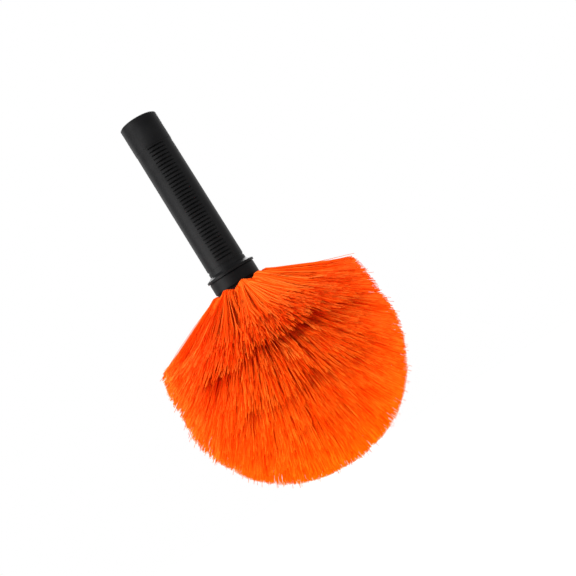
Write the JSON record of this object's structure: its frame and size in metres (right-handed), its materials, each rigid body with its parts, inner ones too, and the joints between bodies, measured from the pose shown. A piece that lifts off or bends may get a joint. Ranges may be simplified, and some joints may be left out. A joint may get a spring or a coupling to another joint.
{
  "type": "cobweb brush head",
  "caption": "Domed cobweb brush: ribbed push-on pole socket with a lip and collar, and fanned stiff fibre tufts set in rows over a bullet-shaped core.",
  "frame": {"origin": "centre of the pole socket's mouth", "axes": "+Z along the socket's axis, out of its mouth, so the fibres hang below; +Y away from the picture's camera, +X to its right across the handle"},
  "size_m": [0.1921, 0.1912, 0.3166],
  "materials": {
    "socket_plastic": "near-black moulded plastic, satin",
    "core_plastic": "black moulded plastic, satin",
    "fibre": "bright orange synthetic fibre, slightly glossy",
    "steel": "zinc-plated steel"
  },
  "bodies": {
    "root": {"handle_socket": "socket_plastic", "brush_core": "core_plastic", "core_screw": "steel", "tuft_anchors": "steel", "row_1_tuft_01": "fibre", "row_1_tuft_02": "fibre", "row_1_tuft_03": "fibre", "row_1_tuft_04": "fibre", "row_1_tuft_05": "fibre", "row_1_tuft_06": "fibre", "row_1_tuft_07": "fibre", "row_1_tuft_08": "fibre", "row_1_tuft_09": "fibre", "row_1_tuft_10": "fibre", "row_2_tuft_01": "fibre", "row_2_tuft_02": "fibre", "row_2_tuft_03": "fibre", "row_2_tuft_04": "fibre", "row_2_tuft_05": "fibre", "row_2_tuft_06": "fibre", "row_2_tuft_07": "fibre", "row_2_tuft_08": "fibre", "row_2_tuft_09": "fibre", "row_2_tuft_10": "fibre", "row_3_tuft_01": "fibre", "row_3_tuft_02": "fibre", "row_3_tuft_03": "fibre", "row_3_tuft_04": "fibre", "row_3_tuft_05": "fibre", "row_3_tuft_06": "fibre", "row_3_tuft_07": "fibre", "row_3_tuft_08": "fibre", "row_3_tuft_09": "fibre", "row_3_tuft_10": "fibre", "row_4_tuft_01": "fibre", "row_4_tuft_02": "fibre", "row_4_tuft_03": "fibre", "row_4_tuft_04": "fibre", "row_4_tuft_05": "fibre", "row_4_tuft_06": "fibre", "row_4_tuft_07": "fibre", "row_4_tuft_08": "fibre", "row_4_tuft_09": "fibre", "row_5_tuft_01": "fibre", "row_5_tuft_02": "fibre", "row_5_tuft_03": "fibre", "row_5_tuft_04": "fibre", "row_5_tuft_05": "fibre", "row_5_tuft_06": "fibre", "nose_tuft": "fibre"}
  },
  "joints": []
}
